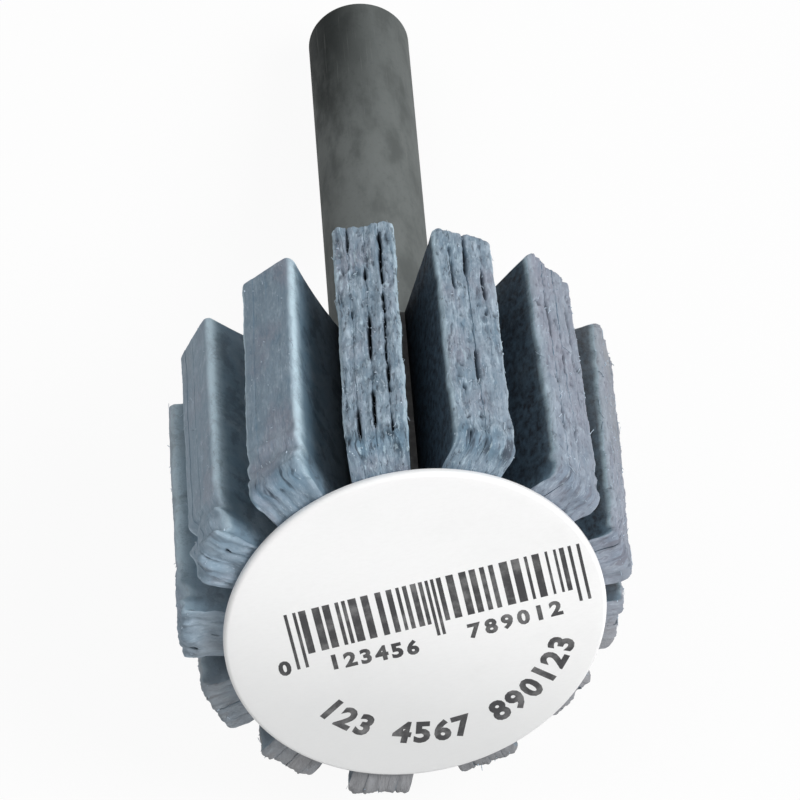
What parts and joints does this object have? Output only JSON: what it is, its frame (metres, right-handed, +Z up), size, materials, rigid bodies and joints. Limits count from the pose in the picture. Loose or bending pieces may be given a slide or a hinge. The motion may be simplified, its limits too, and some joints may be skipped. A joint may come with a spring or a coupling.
{
  "type": "mounted flap wheel",
  "caption": "Small grinding wheel on a plain steel shank: packs of abrasive cloth flaps fan out from a cast resin hub, and a round paper label closes the front.",
  "frame": {"origin": "middle of the lying wheel's box, on the floor", "axes": "+X to the right seen from the label, +Y along the floor from the label towards the shank's tip, +Z up"},
  "size_m": [0.025, 0.0596, 0.0292],
  "materials": {
    "shank_steel": "matt, mottled dark steel",
    "hub_resin": "matt cast resin",
    "abrasive_cloth": "blue-grey grain bonded on cloth",
    "label_paper": "coated white paper"
  },
  "bodies": {
    "root": {"shank": "shank_steel", "hub": "hub_resin", "label": "label_paper", "pack_01_flap_1": "abrasive_cloth", "pack_01_flap_2": "abrasive_cloth", "pack_01_flap_3": "abrasive_cloth", "pack_01_flap_4": "abrasive_cloth", "pack_02_flap_1": "abrasive_cloth", "pack_02_flap_2": "abrasive_cloth", "pack_02_flap_3": "abrasive_cloth", "pack_02_flap_4": "abrasive_cloth", "pack_03_flap_1": "abrasive_cloth", "pack_03_flap_2": "abrasive_cloth", "pack_03_flap_3": "abrasive_cloth", "pack_03_flap_4": "abrasive_cloth", "pack_04_flap_1": "abrasive_cloth", "pack_04_flap_2": "abrasive_cloth", "pack_04_flap_3": "abrasive_cloth", "pack_04_flap_4": "abrasive_cloth", "pack_05_flap_1": "abrasive_cloth", "pack_05_flap_2": "abrasive_cloth", "pack_05_flap_3": "abrasive_cloth", "pack_05_flap_4": "abrasive_cloth", "pack_06_flap_1": "abrasive_cloth", "pack_06_flap_2": "abrasive_cloth", "pack_06_flap_3": "abrasive_cloth", "pack_06_flap_4": "abrasive_cloth", "pack_07_flap_1": "abrasive_cloth", "pack_07_flap_2": "abrasive_cloth", "pack_07_flap_3": "abrasive_cloth", "pack_07_flap_4": "abrasive_cloth", "pack_08_flap_1": "abrasive_cloth", "pack_08_flap_2": "abrasive_cloth", "pack_08_flap_3": "abrasive_cloth", "pack_08_flap_4": "abrasive_cloth", "pack_09_flap_1": "abrasive_cloth", "pack_09_flap_2": "abrasive_cloth", "pack_09_flap_3": "abrasive_cloth", "pack_09_flap_4": "abrasive_cloth", "pack_10_flap_1": "abrasive_cloth", "pack_10_flap_2": "abrasive_cloth", "pack_10_flap_3": "abrasive_cloth", "pack_10_flap_4": "abrasive_cloth", "pack_11_flap_1": "abrasive_cloth", "pack_11_flap_2": "abrasive_cloth", "pack_11_flap_3": "abrasive_cloth", "pack_11_flap_4": "abrasive_cloth", "pack_12_flap_1": "abrasive_cloth", "pack_12_flap_2": "abrasive_cloth", "pack_12_flap_3": "abrasive_cloth", "pack_12_flap_4": "abrasive_cloth", "pack_13_flap_1": "abrasive_cloth", "pack_13_flap_2": "abrasive_cloth", "pack_13_flap_3": "abrasive_cloth", "pack_13_flap_4": "abrasive_cloth"}
  },
  "joints": []
}
